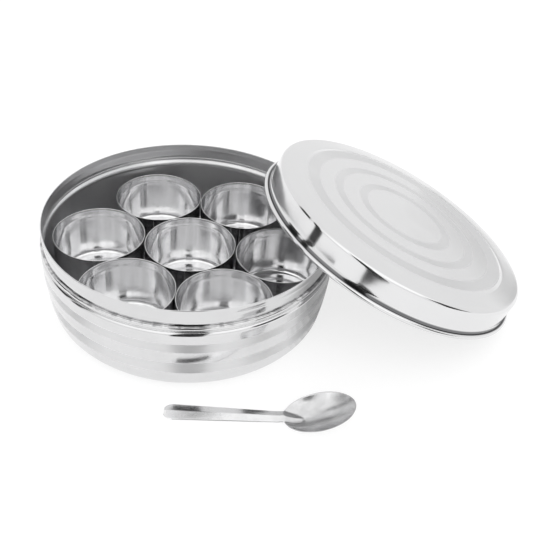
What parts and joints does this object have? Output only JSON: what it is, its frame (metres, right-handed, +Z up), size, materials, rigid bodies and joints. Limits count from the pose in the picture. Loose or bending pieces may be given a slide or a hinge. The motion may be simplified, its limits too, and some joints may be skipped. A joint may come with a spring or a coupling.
{
  "type": "spice box",
  "caption": "Round polished steel spice box (masala dabba) with loose round cups, a domed lid leaning on its rim and a small spoon.",
  "frame": {"origin": "bottom centre of the whole set's bounding box, on the table, with the lid leaning against the box's right side and the spoon in front", "axes": "+Z up, +X from the box towards the leaning lid, +Y away from the spoon. The box's own axis stands at x = -0.0741, y = +0.0125."},
  "size_m": [0.351, 0.2604, 0.0984],
  "materials": {
    "box_steel": "mirror-polished stainless steel with two satin bands round the belly",
    "lid_steel": "polished stainless steel, turned satin rings on the top",
    "cup_steel": "polished stainless steel with faint drawing marks up the wall",
    "spoon_steel": "tumbled stainless steel, between satin and polished"
  },
  "bodies": {
    "box": {"box": "box_steel"},
    "lid": {"lid": "lid_steel"},
    "cup_centre": {"cup_centre": "cup_steel"},
    "cup_back_right": {"cup_back_right": "cup_steel"},
    "cup_back_left": {"cup_back_left": "cup_steel"},
    "cup_left": {"cup_left": "cup_steel"},
    "cup_front_left": {"cup_front_left": "cup_steel"},
    "cup_front_right": {"cup_front_right": "cup_steel"},
    "cup_right": {"cup_right": "cup_steel"},
    "spoon": {"spoon": "spoon_steel"}
  },
  "joints": [
    {"name": "lid_lift", "type": "slide", "parent": "box", "child": "lid", "axis": [0, 0, 1], "range_m": [0, 0.2]},
    {"name": "cup_centre_lift", "type": "slide", "parent": "box", "child": "cup_centre", "axis": [0, 0, 1], "range_m": [0, 0.1]},
    {"name": "cup_back_right_lift", "type": "slide", "parent": "box", "child": "cup_back_right", "axis": [0, 0, 1], "range_m": [0, 0.023]},
    {"name": "cup_back_left_lift", "type": "slide", "parent": "box", "child": "cup_back_left", "axis": [0, 0, 1], "range_m": [0, 0.1]},
    {"name": "cup_left_lift", "type": "slide", "parent": "box", "child": "cup_left", "axis": [0, 0, 1], "range_m": [0, 0.1]},
    {"name": "cup_front_left_lift", "type": "slide", "parent": "box", "child": "cup_front_left", "axis": [0, 0, 1], "range_m": [0, 0.1]},
    {"name": "cup_front_right_lift", "type": "slide", "parent": "box", "child": "cup_front_right", "axis": [0, 0, 1], "range_m": [0, 0.1]},
    {"name": "cup_right_lift", "type": "slide", "parent": "box", "child": "cup_right", "axis": [0, 0, 1], "range_m": [0, 0.026]},
    {"name": "spoon_lift", "type": "slide", "parent": "box", "child": "spoon", "axis": [0, 0, 1], "range_m": [0, 0.1]}
  ]
}
